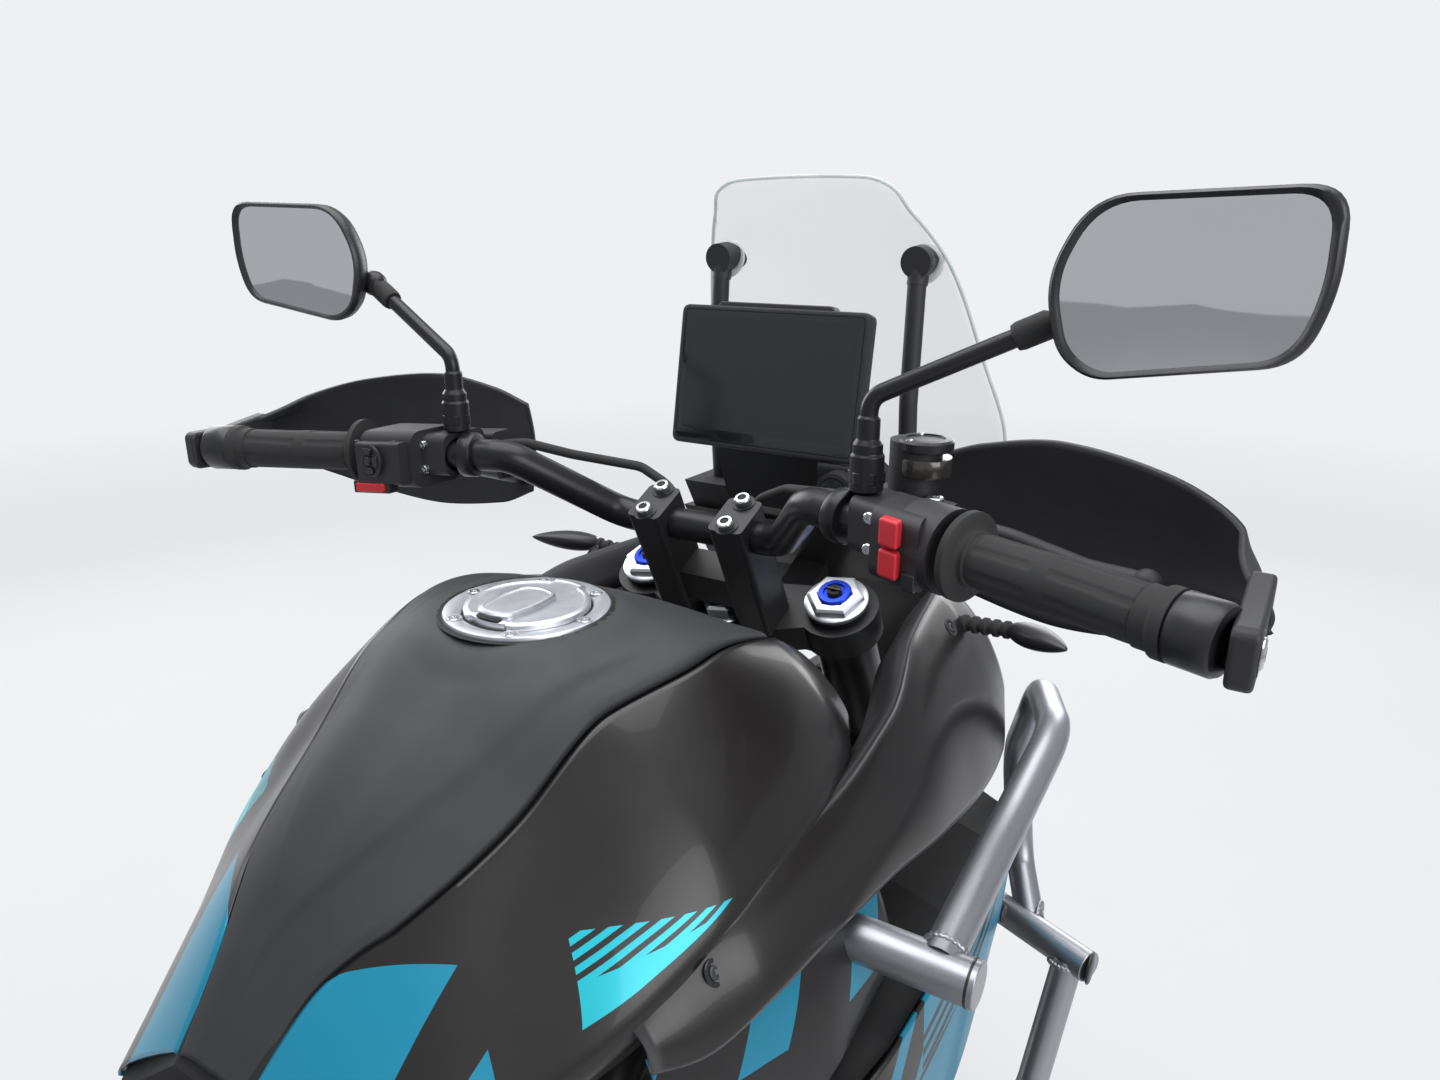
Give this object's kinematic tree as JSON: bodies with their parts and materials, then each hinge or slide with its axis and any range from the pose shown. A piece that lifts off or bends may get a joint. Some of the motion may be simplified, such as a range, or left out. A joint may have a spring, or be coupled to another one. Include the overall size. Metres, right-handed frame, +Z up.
{
  "type": "adventure motorcycle",
  "caption": "Tall touring and off-road motorcycle with crash bars, clear windscreen, hand guards, luggage rack, centre stand and chain drive.",
  "frame": {"origin": "on the ground, midway along the length, on the wheels' mid plane", "axes": "+X forward along the motorcycle's length, +Y to the rider's left, +Z up"},
  "size_m": [2.24, 0.9296, 1.412],
  "materials": {
    "black_frame": "satin black",
    "grey_tube": "satin metallic grey",
    "engine_grey": "satin dark grey casting",
    "fork_gold": "satin black anodised",
    "bright_steel": "brushed",
    "fork_chrome": "polished",
    "cast_alloy": "satin",
    "black_plastic": "moulded matt",
    "dark_panel": "satin",
    "teal_panel": "satin teal with black stripes",
    "black_gloss": "gloss",
    "clear_screen": "clear",
    "lamp_lens": "clear lens",
    "red_lens": "red lens",
    "mirror_face": "mirror",
    "soft_rubber": "ribbed",
    "tyre_rubber": "block tread",
    "chain_steel": "oiled",
    "seat_cover": "grained cover",
    "red_switch": "red"
  },
  "bodies": {
    "chassis": {"chassis_bolts": "bright_steel", "crash_bars": "grey_tube", "dash_panel": "black_plastic", "display": "black_gloss", "drive_chain": "chain_steel", "engine": "engine_grey", "exhaust": "bright_steel", "filler_ring": "cast_alloy", "footpegs": "cast_alloy", "fuel_tank": "black_plastic", "headlight": "lamp_lens", "lower_panels": "teal_panel", "main_frame": "black_frame", "nose_fairing": "dark_panel", "pillion_seat": "seat_cover", "radiator": "cast_alloy", "rear_caliper": "cast_alloy", "rear_rack": "grey_tube", "rear_shock": "bright_steel", "rider_seat": "seat_cover", "screen_arms": "black_plastic", "side_fairings": "dark_panel", "skid_plate": "cast_alloy", "subframe": "black_frame", "swingarm": "cast_alloy", "tail_light": "red_lens", "tail_unit": "dark_panel", "tank_cover": "black_plastic", "tank_lobes": "dark_panel", "tank_panels": "teal_panel", "turn_signals": "black_plastic", "windscreen": "clear_screen"},
    "steering": {"fork_tubes": "fork_gold", "fork_lowers": "fork_chrome", "fork_caps": "cast_alloy", "top_clamp": "black_frame", "lower_clamp": "black_frame", "front_calipers": "cast_alloy", "front_mudguard": "black_plastic", "handlebar": "black_frame", "grips": "soft_rubber", "bar_controls": "black_plastic", "switch_buttons": "red_switch", "hand_guards": "black_plastic", "mirrors": "black_plastic", "mirror_glasses": "mirror_face", "brake_hoses": "soft_rubber", "control_cables": "soft_rubber"},
    "front_wheel": {"front_wheel": "black_frame", "front_tyre": "tyre_rubber", "front_discs": "bright_steel"},
    "rear_wheel": {"rear_wheel": "black_frame", "rear_tyre": "tyre_rubber", "rear_disc": "bright_steel", "rear_sprocket": "chain_steel"},
    "centre_stand": {"centre_stand": "black_frame"},
    "side_stand": {"side_stand": "black_frame"},
    "fuel_cap_lid": {"fuel_cap_lid": "cast_alloy"}
  },
  "joints": [
    {"name": "steering_turn", "type": "hinge", "parent": "chassis", "child": "steering", "pos_m": [0.8823, 0, 0], "axis": [-0.4384, 0, 0.8988], "range_deg": [-38, 38]},
    {"name": "front_wheel_spin", "type": "hinge", "parent": "steering", "child": "front_wheel", "pos_m": [0.7723, 0, 0.3477], "axis": [0, 1, 0], "continuous": true},
    {"name": "rear_wheel_spin", "type": "hinge", "parent": "chassis", "child": "rear_wheel", "pos_m": [-0.7577, 0, 0.3556], "axis": [0, 1, 0], "continuous": true},
    {"name": "centre_stand_fold", "type": "hinge", "parent": "chassis", "child": "centre_stand", "pos_m": [-0.215, 0, 0.3], "axis": [0, 1, 0], "range_deg": [0, 98]},
    {"name": "side_stand_swing", "type": "hinge", "parent": "chassis", "child": "side_stand", "pos_m": [-0.118, 0.184, 0.296], "axis": [-0.0409, -0.8543, -0.5182], "range_deg": [0, 98]},
    {"name": "fuel_cap_hinge", "type": "hinge", "parent": "chassis", "child": "fuel_cap_lid", "pos_m": [0.17, 0, 1.109], "axis": [0, 1, 0], "range_deg": [0, 100]}
  ]
}
